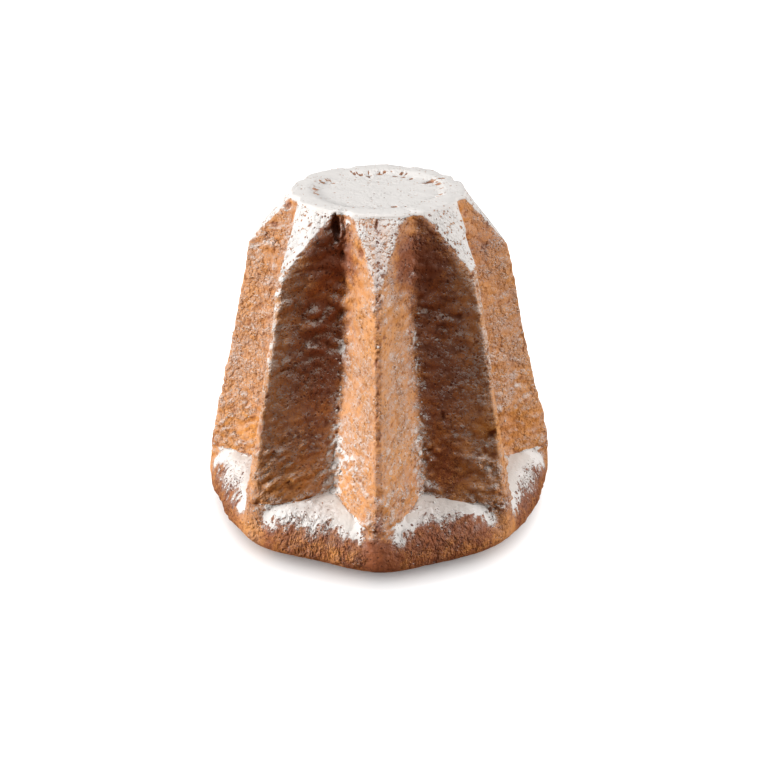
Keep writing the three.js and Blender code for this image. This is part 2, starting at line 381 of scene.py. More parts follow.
@dataclass(frozen=True)
class CrustGrid:
    """How finely the crust is divided, and where each column and level goes."""

    shape: LoafShape
    columns_per_half: int = 30
    crowding: float = 0.4
    edge_margin: float = 0.14
    column_bend: float = 55.0
    facet_margin: float = 2.0
    disc_margin: float = 2.0
    steps: tuple[int, ...] = (3, 25, 19, 13, 92, 30, 4, 17)

    @property
    def columns(self) -> int:
        """How many columns go round the loaf."""
        return 2 * self.shape.ribs * self.columns_per_half

    def azimuths(self, middle: float) -> Array:
        """Azimuths of all columns of a level.

        Args:
            middle: where the middle column between a ridge and a valley stands, as a share.

        Returns:
            One azimuth for each column, from -pi up.
        """
        index = np.arange(self.columns)
        half, part = index // self.columns_per_half, index % self.columns_per_half / self.columns_per_half
        share = np.where(half % 2 == 0, part, 1.0 - part)
        crowded = share - self.crowding * np.sin(2.0 * math.pi * share) / (2.0 * math.pi)
        bent = np.where(crowded < 0.5, 2.0 * crowded * middle, mix(middle, 1.0, 2.0 * crowded - 1.0))
        turned = np.where(half % 2 == 0, half + bent, half + 1.0 - bent)
        return turned * self.shape.half_rib - math.pi

    def middle(self, z: float) -> float:
        """Returns where the middle column stands at a height: on the facet's edge, high up."""
        top = self.shape.shoulder[1]
        if z > top:
            return min(max(self.shape.facet_edge(z), self.edge_margin), 1.0 - self.edge_margin)
        return float(mix(0.5, self.edge_margin, step(z, top - self.column_bend, top)))

    def disc_height(self, radius: Array) -> Array:
        """Returns the height of the disc, which is sunk inside its recess."""
        shape = self.shape
        sunk = fall(radius, shape.recess_radius, shape.recess_radius + shape.recess_slope)
        return shape.height - shape.recess_depth * sunk

    def levels(self) -> tuple[Array, Array, Array]:
        """All places of the grid, level by level from the base to the disc.

        Returns:
            Places in millimetres by level and column, their azimuths, and each level's zone.
        """
        rows, zones = [], []
        for zone, count in zip(Zone, self.steps):
            for index in range(0 if zone is Zone.BASE else 1, count + 1):
                rows.append(self.level(zone, index / count))
                zones.append(zone.value)
        azimuth, radius, z = (np.array(part) for part in zip(*rows))
        return polar(radius, azimuth, z), azimuth, np.array(zones)

    def level(self, zone: Zone, t: float) -> tuple[Array, Array, Array]:
        """One level of the grid.

        Args:
            zone: the band that it lies in.
            t: how far through that band it lies, from 0 to 1.

        Returns:
            Azimuths, distances from the axis and heights, one for each column.
        """
        shape, turn = self.shape, t * math.pi / 2.0
        widest, edge, foot = shape.foot_widest[1], shape.shelf_edge[1], shape.valley_foot[1]
        facet, rim = shape.shoulder[1] - self.facet_margin, shape.height - shape.disc_edge_round

        def row(z: float, radius_at: Callable, at: float | None = None, middle: float = 0.5) -> tuple:
            """Returns a level at a height, with its radius taken at another height where one is given."""
            azimuth = self.azimuths(middle)
            radius = radius_at(azimuth, np.full_like(azimuth, z if at is None else at))
            return azimuth, radius, np.full_like(azimuth, z)

        if zone is Zone.BASE:
            return row(0.0, lambda azimuth, z: t * shape.foot_radius(azimuth, z))
        if zone is Zone.BULGE:
            return row(widest * (1.0 - math.cos(turn)), shape.foot_radius)
        if zone is Zone.BROW:
            return row(mix(widest, edge, math.sin(turn)), shape.foot_radius)
        if zone is Zone.SHELF:
            azimuth, outer, _ = row(edge, shape.foot_radius)
            _, inner, _ = row(foot, shape.wall_radius)
            return azimuth, mix(outer, inner, t), np.full_like(azimuth, mix(edge, foot, t))
        if zone in (Zone.WALL, Zone.FACET):
            z = mix(foot, facet, t) if zone is Zone.WALL else mix(facet, rim, t)
            return row(z, shape.wall_radius, middle=self.middle(z))
        if zone is Zone.RIM:
            inward = shape.disc_edge_round * (1.0 - math.cos(turn))
            z = rim + shape.disc_edge_round * math.sin(turn)
            azimuth, radius, z = row(z, shape.wall_radius, rim, self.middle(rim))
            return azimuth, radius - inward, z
        radius = (shape.disc_radius - shape.disc_edge_round - self.disc_margin) * (1.0 - t)
        middle = mix(self.middle(rim), 0.5, t)
        return row(self.disc_height(radius), lambda azimuth, z: np.full_like(z, radius), middle=middle)


# ---- Nodes ----

Socket = bpy.types.NodeSocket
Colour = tuple[float, float, float, float]


class NodeBench:
    """Adds nodes to one node tree and wires them."""

    def __init__(self, tree: bpy.types.NodeTree) -> None:
        """Keeps the tree that the nodes go into."""
        self.tree = tree

    def add(self, kind: str, inputs: dict | None = None, **settings: object) -> bpy.types.Node:
        """Adds a node.

        Args:
            kind: the node's type name, without ShaderNode.
            inputs: what goes into its sockets, a socket to link or a value.
            settings: its other settings.

        Returns:
            The node.
        """
        node = self.tree.nodes.new(kind if kind.startswith("Node") else "ShaderNode" + kind)
        for name, value in settings.items():
            setattr(node, name, value)
        for name, value in (inputs or {}).items():
            if isinstance(value, Socket):
                self.tree.links.new(value, node.inputs[name])
            else:
                node.inputs[name].default_value = value
        return node

    def math(self, operation: str, *values: Socket | float) -> Socket:
        """Returns the result of a Math node."""
        return self.add("Math", dict(enumerate(values)), operation=operation).outputs[0]

    def times(self, a: Socket, b: Socket | float) -> Socket:
        """Returns a product."""
        return self.math("MULTIPLY", a, b)

    def plus(self, value: Socket, gain: Socket | float, base: Socket | float) -> Socket:
        """Returns a value times a gain, plus a base."""
        return self.math("MULTIPLY_ADD", value, gain, base)

    def swing(self, noise_of: Socket, gain: float, base: Socket | float) -> Socket:
        """Returns noise made to swing about 0, times a gain, plus a base."""
        return self.plus(self.math("SUBTRACT", noise_of, 0.5), gain, base)

    def larger(self, a: Socket, b: Socket) -> Socket:
        """Returns the larger of two values."""
        return self.math("MAXIMUM", a, b)

    def vector(self, operation: str, a: Socket, b: Socket | tuple) -> Socket:
        """Returns the result of a Vector Math node on two vectors."""
        return self.add("VectorMath", {0: a, 1: b}, operation=operation).outputs[0]

    def scaled(self, vector: Socket, factor: float) -> Socket:
        """Returns a vector times a number."""
        return self.add("VectorMath", {0: vector, "Scale": factor}, operation="SCALE").outputs[0]

    def step(self, value: Socket, low: float, high: float, to: Pair = (0.0, 1.0)) -> Socket:
        """Returns a smooth step of a value from the first number of `to` up to the second."""
        ends = {"Value": value, "From Min": low, "From Max": high, "To Min": to[0], "To Max": to[1]}
        return self.add("MapRange", ends, interpolation_type="SMOOTHSTEP").outputs[0]

    def blend(self, share: Socket | float, a: Socket | tuple, b: Socket | tuple) -> Socket:
        """Returns a mix of two colours."""
        return self.add("Mix", {0: share, 6: a, 7: b}, data_type="RGBA").outputs[2]

    def noise(self, place: Socket, size: float, detail: float = 1.0, rough: float = 0.5) -> Socket:
        """Returns noise from 0 to 1 with bumps about a size apart."""
        inputs = {"Vector": place, "Scale": 1.0 / size, "Detail": detail, "Roughness": rough}
        return self.add("TexNoise", inputs).outputs["Fac"]

    def cells(self, place: Socket, size: float) -> tuple[Socket, Socket]:
        """Returns the distance to the nearest of points about a size apart, and its random number."""
        node = self.add("TexVoronoi", {"Vector": place, "Scale": 1.0 / size, "Randomness": 1.0})
        return node.outputs["Distance"], self.add("SeparateColor", {0: node.outputs["Color"]}).outputs[0]

    def attribute(self, name: str) -> Socket:
        """Returns the piece's own attribute."""
        return self.add("Attribute", attribute_name=name).outputs["Fac"]


class FinishBench(NodeBench):
    """Builds one material, with places in millimetres."""

    def __init__(self, name: str) -> None:
        """Starts an empty material."""
        self.material = bpy.data.materials.new(name)
        self.material.use_nodes = True
        self.material.node_tree.nodes.clear()
        super().__init__(self.material.node_tree)
        self.place = self.scaled(self.add("TexCoord").outputs["Object"], 1000.0)

    def surface(
        self, colour: Socket, rough: Socket | float, height: Socket, strength: float, gloss: float
    ) -> bpy.types.Material:
        """Adds the surface that all other nodes feed.

        Args:
            colour: its colour.
            rough: its roughness.
            height: its relief in millimetres.
            strength: how strongly the relief shows.
            gloss: its specular level.

        Returns:
            The finished material.
        """
        bump = self.add("Bump", {"Height": height, "Distance": 0.001, "Strength": strength})
        inputs = {"Base Color": colour, "Roughness": rough, "Normal": bump.outputs[0]}
        shader = self.add("BsdfPrincipled", inputs | {"Specular IOR Level": gloss})
        self.add("OutputMaterial", {"Surface": shader.outputs[0]})
        return self.material


def linear(red: float, green: float, blue: float) -> Colour:
    """Returns a colour with full cover."""
    return red, green, blue, 1.0


@dataclass(frozen=True)
class CrumbRelief:
    """The fine relief of a baked crust, in millimetres: crumbs, pores, grain and stretch marks.

    A pore's two numbers turn a random number into its radius in cells: a gain and an offset.
    """

    big_cell: float = 4.6
    big_pore: Pair = (0.6, -0.34)
    big_depth: float = 0.7
    small_cell: float = 1.9
    small_pore: Pair = (0.6, -0.16)
    small_depth: float = 0.5
    pore_edge: Pair = (-0.04, 0.09)
    crumb_cell: float = 2.6
    crumb_depth: float = 0.9
    crevice: Pair = (0.5, 0.85)
    crevice_share: float = 0.5
    lump: float = 0.9
    lump_size: float = 3.6
    grain: float = 1.0
    grain_size: float = 1.3
    calm_size: float = 13.0
    calm_edge: Pair = (0.36, 0.62)
    calm: Pair = (0.4, 1.25)
    warp: float = 1.6
    warp_size: float = 2.0
    mark_height: float = 3.6
    mark_size: Pair = (3.0, 0.34)
    mark_crease: float = 0.05

    def group(self) -> bpy.types.NodeTree:
        """Builds the node group.

        Returns:
            A group from a place in millimetres to a height in millimetres, a share of pore, which takes
            in the crevices between crumbs, and a share of crease between stretch marks. The finish paints
            pores, crevices and creases darker, as painted shade.
        """
        tree = bpy.data.node_groups.new("crumb_relief", "ShaderNodeTree")
        for name, kind in (("Place", "NodeSocketVector"), ("Torn", "NodeSocketFloat")):
            tree.interface.new_socket(name, in_out="INPUT", socket_type=kind)
        for name in ("Height", "Pore", "Crease"):
            tree.interface.new_socket(name, in_out="OUTPUT", socket_type="NodeSocketFloat")
        bench = NodeBench(tree)
        given = bench.add("NodeGroupInput")
        place, torn = given.outputs["Place"], given.outputs["Torn"]
        swirl = {"Vector": place, "Scale": 1.0 / self.warp_size, "Detail": 1.0}
        swirl = bench.add("TexNoise", swirl).outputs["Color"]
        swirl = bench.scaled(bench.vector("SUBTRACT", swirl, (0.5, 0.5, 0.5)), self.warp)
        warped = bench.vector("ADD", place, swirl)

        big = self.pore(bench, warped, self.big_cell, self.big_pore)
        small = self.pore(bench, warped, self.small_cell, self.small_pore)
        off_crumb = bench.cells(warped, self.crumb_cell)[0]
        height = bench.times(bench.noise(warped, self.lump_size, 2.0), self.lump)
        height = bench.plus(bench.noise(place, self.grain_size, 2.0, 0.65), self.grain, height)
        height = bench.plus(bench.times(off_crumb, off_crumb), -self.crumb_depth, height)
        height = bench.plus(big, -self.big_depth, height)
        height = bench.plus(small, -self.small_depth, height)
        calm = bench.step(bench.noise(place, self.calm_size), *self.calm_edge, self.calm)
        height = bench.times(height, calm)

        mark_width, mark_squash = self.mark_size
        tall = bench.vector("MULTIPLY", warped, (1.0, 1.0, mark_squash))
        mark = bench.math("ABSOLUTE", bench.math("SUBTRACT", bench.noise(tall, mark_width, 2.0, 0.6), 0.5))
        height = bench.plus(bench.times(mark, torn), self.mark_height, height)
        # Crevices between crumbs count as part pore: less sugar stays there, and the finish paints them
        # darker as painted shade.
        crevice = bench.step(off_crumb, *self.crevice, (0.0, self.crevice_share))
        pore = bench.larger(bench.larger(big, small), crevice)
        crease = bench.times(bench.step(mark, 0.0, self.mark_crease, (1.0, 0.0)), torn)
        bench.add("NodeGroupOutput", {"Height": height, "Pore": pore, "Crease": crease})
        return tree

    def pore(self, bench: NodeBench, place: Socket, cell: float, size: Pair) -> Socket:
        """Pores of one size, many of them closed.

        Args:
            bench: where the nodes go.
            place: a place in millimetres.
            cell: how far apart the pores lie.
            size: the gain and offset of a pore's radius.

        Returns:
            1 inside a pore and 0 outside.
        """
        distance, chance = bench.cells(place, cell)
        radius = bench.plus(chance, *size)
        return bench.step(bench.math("SUBTRACT", radius, distance), *self.pore_edge)


@dataclass(frozen=True)
class CrustFinish:
    """The baked crust under its dust of icing sugar.

    Specks of dust lie where enough powder sticks, and a thinner film lies between them. The losses
    say how much less powder stays in a pore, in a crease and in a pit. A shadow says how much of the
    colour is painted dark in each, as painted shade over the crust's own brown, and the tone's gains
    are for patches and for grain.
    """

    honey: Colour = linear(0.7, 0.3, 0.064)
    tan: Colour = linear(0.61, 0.255, 0.07)
    brown: Colour = linear(0.27, 0.083, 0.031)
    dark: Colour = linear(0.1, 0.026, 0.01)
    sugar: Colour = linear(0.71, 0.69, 0.675)
    grain_size: float = 0.75
    patch_size: float = 7.0
    well_baked: Pair = (0.5, 0.95)
    lip_reach: float = 0.5
    lip_gain: float = 0.6
    speckle: float = 1.65
    patchiness: float = 0.5
    losses: tuple[float, float, float] = (0.7, 0.2, 1.7)
    dust_edge: Pair = (0.48, 0.67)
    thin_dust: float = 0.6
    opaque: Pair = (0.45, 0.95)
    film: Pair = (0.15, 0.37)
    thick_film: float = 0.6
    film_grain: Pair = (0.5, 1.2)
    film_in_pore: float = 0.25
    film_loss: float = 0.42
    tone_gains: Pair = (0.9, 1.3)
    pore_shadow: Pair = (0.35, 0.45)
    crease_shadow: float = 0.5
    pit_shadow: float = 0.85
    dust_height: float = 0.22
    bump_under_sugar: float = 0.22
    crust_roughness: float = 0.58
    sugar_roughness: float = 0.92
    relief: CrumbRelief = CrumbRelief()

    def material(self) -> bpy.types.Material:
        """Builds the material.

        Returns:
            A material that reads the attributes sugar, bake, torn and pit.
        """
        bench = FinishBench("baked_crust")
        sugar, bake_and_painted_shading, torn, pit = (bench.attribute(name) for name in ("sugar", "bake_and_painted_shading", "torn", "pit"))
        group = self.relief.group()
        height, pore, crease = self.relief_at(bench, group, bench.place, torn)
        higher = bench.vector("ADD", bench.place, (0.0, 0.0, self.lip_reach))
        lip = bench.math("SUBTRACT", height, self.relief_at(bench, group, higher, torn)[0])
        grain = bench.noise(bench.place, self.grain_size, 3.0, 0.7)
        patch = bench.noise(bench.place, self.patch_size, 3.0, 0.6)
        baked = bench.step(bake_and_painted_shading, *self.well_baked)

        stick = bench.swing(grain, self.speckle, bench.plus(lip, self.lip_gain, sugar))
        stick = bench.swing(patch, self.patchiness, stick)
        for hollow, loss in zip((pore, crease, pit), self.losses):
            stick = bench.plus(hollow, -loss, stick)
        # Thin dust is a little whiter where the crust is darker, which is mostly where shade is painted: a
        # painted highlight on the flecks in shade.
        cover = bench.larger(bench.plus(baked, 0.1, self.thin_dust), bench.step(sugar, *self.opaque))
        dust = bench.times(bench.step(stick, *self.dust_edge), cover)
        film = bench.times(bench.step(sugar, 0.0, 0.6), bench.step(patch, 0.28, 0.7, self.film))
        film = bench.larger(film, bench.step(sugar, 0.5, 0.85, (0.0, self.thick_film)))
        film = bench.times(film, bench.step(grain, 0.3, 0.65, self.film_grain))
        film = bench.times(film, bench.step(bench.larger(pore, pit), 0.0, 0.8, (1.0, self.film_in_pore)))
        # The film thins where the crust is darker, so the faces painted as in shade also lose their pale
        # film: more painted shade.
        film = bench.times(film, bench.plus(baked, -self.film_loss, 1.0))
        white = bench.larger(dust, film)

        # The tone follows the bake attribute, which holds painted shade and light as well as the crust's
        # baking.
        tone = bench.swing(patch, self.tone_gains[0], bake_and_painted_shading)
        tone = bench.swing(grain, self.tone_gains[1], tone)
        colour = bench.blend(bench.step(tone, 0.0, 0.45), self.honey, self.tan)
        colour = bench.blend(bench.step(tone, 0.4, 1.0), colour, self.brown)
        # Pores, pits and creases are painted darker: over the crust's own brown this is painted shade,
        # darkest on the faces where shade is painted.
        hollow = bench.blend(baked, self.brown, self.dark)
        colour = bench.blend(bench.times(pore, bench.plus(baked, *self.pore_shadow)), colour, hollow)
        colour = bench.blend(bench.times(crease, self.crease_shadow), colour, self.dark)
        colour = bench.blend(bench.times(pit, self.pit_shadow), colour, hollow)
        colour = bench.blend(white, colour, self.sugar)
        rough = bench.step(white, 0.0, 1.0, (self.crust_roughness, self.sugar_roughness))
        buried = bench.step(sugar, 0.9, 1.4, (1.0, self.bump_under_sugar))
        height = bench.plus(height, buried, bench.times(dust, self.dust_height))
        return bench.surface(colour, rough, height, 1.0, 0.3)

    def relief_at(self, bench: NodeBench, group: bpy.types.NodeTree, at: Socket, torn: Socket) -> tuple:
        """Returns the relief's height, pore and crease at a place."""
        return tuple(bench.add("Group", {"Place": at, "Torn": torn}, node_tree=group).outputs)


@dataclass(frozen=True)
class PowderFinish:
    """Icing sugar where it lies thick: matt, soft and faintly mottled, a little darker than the crust's
    sugar as painted shade on the shelves.
    """

    light: Colour = linear(0.67, 0.645, 0.62)
    shade: Colour = linear(0.6, 0.57, 0.54)
    roughness: float = 0.95
    soft_size: float = 4.0
    grain_size: float = 0.6

    def material(self) -> bpy.types.Material:
        """Builds the material.

        Returns:
            A powdery white material.
        """
        bench = FinishBench("icing_sugar_powder")
        soft = bench.noise(bench.place, self.soft_size, 2.0)
        grain = bench.noise(bench.place, self.grain_size, 2.0, 0.7)
        colour = bench.blend(bench.plus(soft, 0.5, bench.times(grain, 0.5)), self.shade, self.light)
        height = bench.plus(grain, 0.22, bench.times(soft, 0.3))
        return bench.surface(colour, self.roughness, height, 0.8, 0.2)


# ---- Pieces ----


def stood(name: str, data: bpy.types.ID) -> bpy.types.Object:
    """Returns a new object that stands in the scene."""
    thing = bpy.data.objects.new(name, data)
    bpy.context.scene.collection.objects.link(thing)
    return thing


def finished(
    name: str, shape: bmesh.types.BMesh, material: bpy.types.Material
) -> bpy.types.Object:
    """Turns a bmesh into a smooth piece of the loaf that stands in the scene.

    Args:
        name: the piece's name.
        shape: its shape, in metres, which is freed.
        material: its finish.

    Returns:
        The piece.
    """
    mesh = bpy.data.meshes.new(name)
    shape.to_mesh(mesh)
    shape.free()
    mesh.materials.append(material)
    mesh.shade_smooth()
    piece = stood(name, mesh)
    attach(piece, "root")
    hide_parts("pandoro")
    log.info("%s: %d vertices, %d faces", name, len(mesh.vertices), len(mesh.polygons))
    return piece


@dataclass(frozen=True)
class Pit:
    """A pore that is too large to be texture: its place and its half sizes in millimetres."""

    rib: float
    z: float
    across: float
    along: float
    into: float


@dataclass(frozen=True)
class DiscPit:
    """A pore on the disc: its place seen from above, and its half sizes as in a pit."""

    x: float
    y: float
    across: float
    along: float
    into: float


@dataclass(frozen=True)
class Marks:
    """Where this loaf has large pores, wrinkles, heaps of sugar, more or less dust, and browner or paler
    crust, much of the last two painted shade and light.
    """

    disc_pits: tuple[DiscPit, ...] = made_of(
        DiscPit,
        (-6.4, 31.6, 2, 2.3, 1.5), (0.3, 33, 1.9, 2.1, 1.4), (-10.8, 32.2, 1, 1.6, 0.9),
        (10, 30.4, 1.3, 1.9, 1), (14.8, 27.6, 1.1, 2, 0.9), (19.4, 24.4, 1.2, 2.2, 1),
        (29.2, 16.4, 2, 4.6, 1.8), (39.5, 20.6, 1.9, 2.6, 1.8), (-27.4, 16, 1.2, 1.8, 1),
        (-32.2, 13.6, 1.1, 2.2, 1), (-36, 1.4, 1.3, 2.6, 1), (-15.7, -33, 2.2, 1.3, 0.9),
        (9, -31, 1.4, 0.9, 0.7),
    )
    pits: tuple[Pit, ...] = made_of(
        Pit,
        (-0.6, 195, 2.6, 7.5, 4.6), (-0.2, 186, 3.2, 3, 1.4), (-0.88, 182, 2, 1.2, 1),
        (-1.67, 199, 3.4, 3.2, 1.5), (-1.78, 186, 3.2, 2.4, 1.2), (-0.02, 200, 0.7, 3, 0.8),
        (0.3, 198, 0.8, 2.8, 0.8), (0.02, 143, 1, 1.5, 0.6), (-0.02, 134, 1.2, 2, 0.8),
        (0.02, 126, 0.9, 1.4, 0.6), (0, 117, 1.2, 1.7, 0.7), (-0.02, 104, 1, 1.6, 0.6),
        (0.02, 92, 1, 1.3, 0.6), (0.96, 81.5, 2.4, 3.3, 2.2), (0.95, 68, 2.2, 2.4, 1.7),
        (3.97, 126, 2.3, 3.4, 2.2), (-2.98, 96, 2.2, 3.1, 2),
    )
    crumpled: tuple[Patch, ...] = made_of(
        Patch,
        (-0.72, 152, 16, 1, 20), (-0.7, 118, 16, 0.5, 22), (0.7, 150, 14, 0.5, 16),
        (-1.8, 176, 16, 0.8, 14), (2.6, 120, 20, 0.8, 26), (-3.4, 140, 20, 0.8, 24),
    )
    heaps: tuple[Patch, ...] = made_of(
        Patch,
        (-0.48, 152, 3, 1.6, 4), (-0.5, 128, 2.6, 1.5, 5), (0.47, 134, 2.4, 1.3, 4),
        (0.5, 117, 2.6, 1.2, 5), (-0.43, 199, 2.2, 1.6, 2.6), (2.5, 140, 3, 1.5, 5),
        (-2.5, 120, 3, 1.4, 6),
    )
    # More or less sugar on the walls. The extra sugar on the crests of ridges ±1 is partly a painted
    # highlight where the side lights catch them, and the patches that take sugar away high in the valleys,
    # on the faces in shade and beside the right shelves are partly painted shade.
    dust_and_painted_shading: tuple[Patch, ...] = made_of(
        Patch,
        (-1.15, 150, 8, 0.12, 26), (-0.2, 172, 12, -0.06, 26),
        (-0.3, 105, 10, 0.04, 20), (-0.72, 172, 13, -0.12, 16),
        (0.7, 166, 14, -0.12, 20), (-0.3, 68, 12, 0.22, 26), (0.3, 75, 10, 0.12, 24),
        (-0.72, 115, 15, -0.13, 60), (0.72, 80, 15, 0.05, 40), (-1.6, 185, 12, 0.2, 14),
        (-1, 145, 4.5, 0.4, 44), (1, 150, 3.6, 0.2, 36), (1.75, 80, 14, 0.1, 30),
        (-0.6, 180, 12, -0.15, 14), (0.6, 178, 12, -0.15, 14), (0.28, 180, 8, -0.3, 16),
        (1.8, 180, 12, -0.15, 12), (0, 120, 2.2, -0.18, 60), (0.62, 72, 8, -0.4, 40),
        (-0.62, 72, 8, -0.06, 40), (0.66, 56, 12, -0.4, 12), (0.92, 74, 3.5, 0.5, 3.5),
        (0.92, 60.5, 5, 0.4, 4), (-1.72, 125, 14, 0.08, 40), (1.8, 56, 12, -0.35, 11),
    )
    bare: tuple[Patch, ...] = made_of(
        Patch,
        (-0.64, 53, 9, 0.45, 7), (-0.8, 50, 8, 0.6, 6), (-0.36, 52, 8, 0.8, 9),
        (0.36, 50, 8, 0.8, 9), (0.93, 86, 4, 0.8, 5), (-1.7, 58, 12, 0.9, 9),
        (1.8, 62, 12, 0.5, 9), (-0.2, 160, 9, 0.4, 24),
    )
    # Crust baked browner or paler. Most patches are painted shade, on the faces and valley tops that lie
    # in shade and beside the right shelves; the two paler strips on ridges ±1 are a painted highlight
    # where the side lights catch their crests.
    painted_shading_and_browning: tuple[Patch, ...] = made_of(
        Patch,
        (-0.7, 130, 15, 0.6, 80), (0.7, 130, 15, 0.6, 80), (-0.6, 182, 10, 0.5, 14),
        (0.6, 180, 10, 0.5, 14), (0.28, 180, 7, 0.45, 18), (1.85, 178, 12, 0.3, 16),
        (0.3, 52, 10, 0.4, 14), (0.62, 56, 12, 0.3, 14), (1.8, 56, 12, 0.25, 11),
        (-0.3, 174, 7, 0.35, 12), (-1, 140, 4, -0.25, 60), (1, 140, 4, -0.12, 60),
    )


@dataclass(frozen=True)
class Ripples:
    """The noises that the crust's relief and its dust of sugar are made of."""

    rough: Ripple = Ripple(2.3, 14.0)
    fine: Ripple = Ripple(6.0, 1.0)
    broad: Ripple = Ripple(32.0, 2.0)
    lumps: Ripple = Ripple(24.0, 4.0, 0.8)
    wrinkled: Ripple = Ripple(38.0, 3.0)
    wrinkles: Ripple = Ripple(10.0, 5.0, 2.9, 0.8)
    small_wrinkles: Ripple = Ripple(6.0, 6.0, 0.6, 0.85)
    hammering: Ripple = Ripple(4.6, 7.0, 2.1, 0.85)
    pimples: Ripple = Ripple(3.4, 8.0, 0.4)
    chips: Ripple = Ripple(4.6, 9.0, 1.0, 1.3)
    chipped: Ripple = Ripple(30.0, 10.0)
    valley_folds: Ripple = Ripple(5.0, 11.0, 0.9)
    stretch_marks: Ripple = Ripple(6.5, 12.0, 1.0, 3.0)
    small_marks: Ripple = Ripple(3.6, 13.0, 0.6, 1.8)
    rim_waves: Ripple = Ripple(11.0, 16.0, 0.8)
    streaks: Ripple = Ripple(2.4, 15.0, 1.0, 4.0)


@dataclass(frozen=True)
class Dusting:
    """How much icing sugar the crust's parts get: 0 is bare, 0.3 is dusted and 1 is white.

    Pairs of numbers are where something comes in: heights, angles, or shares of the way to a valley.
    The ring's pair is its radius and width, and the brow's ragged edge is moved by fine noise and streaks.
    """

    wall: float = 0.42
    broad: float = 0.14
    fine: float = 0.1
    low_walls: Pair = (58.0, 105.0)
    valley_edge: float = 0.72
    valley_widening: float = 0.14
    low_valley: float = 0.6
    high_valley_loss: float = 0.12
    high_valley: Pair = (120.0, 150.0)
    high_ridge: float = 0.18
    high_ridge_up: Pair = (150.0, 178.0)
    bare_loss: float = 0.3
    facet: float = 1.08
    # Less sugar on the front facet: partly thinner dust, partly painted shade on a facet turned away from
    # the side lights.
    front_facet_loss: float = 0.31
    disc: float = 1.55
    ring_loss: float = 0.2
    ring: Pair = (37.0, 2.5)
    foot: float = 0.07
    underside_loss: float = 0.15
    flecks: float = 0.24
    brow: float = 1.45
    brow_aside: Pair = (0.1, 0.28)
    brow_up: Pair = (23.0, 35.0)
    brow_drop_behind: float = 3.0
    brow_reach: Pair = (4.0, 13.4)
    brow_ragged: Pair = (2.0, 4.0)
    brow_full: float = 0.75
    brow_fade: float = 1.9
    fade_behind: float = 0.8
    fade_left: float = 0.9
    # More sugar at the foot's corners to the sides, partly a painted highlight where the side lights fall.
    corner: float = 0.14
    away_from_front: Pair = (0.55, 1.0)
    left: Pair = (-0.3, 0.5)
    facing_up: float = 0.75
    heap: float = 0.6


@dataclass(frozen=True)
class Baking:
    """How dark the crust's parts are baked, some of it painted shade and painted light: 0 is honey and 1
    is brown.
    """

    wall: float = 0.34
    wall_broad: float = 0.16
    bare_loss: float = 0.35
    front_ridge: float = 0.3
    facet: float = 0.15
    # The front facet is baked a little darker, partly painted shade.
    front_facet: float = 0.1
    foot: float = 0.86
    foot_broad: float = 0.14
    left_loss: float = 0.08
    left: Pair = (-0.4, 0.3)
    # The front corner of the foot is darker and the corners to the sides paler: partly their own tan
    # crust, partly painted shade and light from where the lights fall.
    corner: float = 0.25
    side_corner_loss: float = 0.65
    underside_loss: float = 0.16
    brow: float = 0.12
    ridge_foot: float = 0.3
    fine: float = 0.12


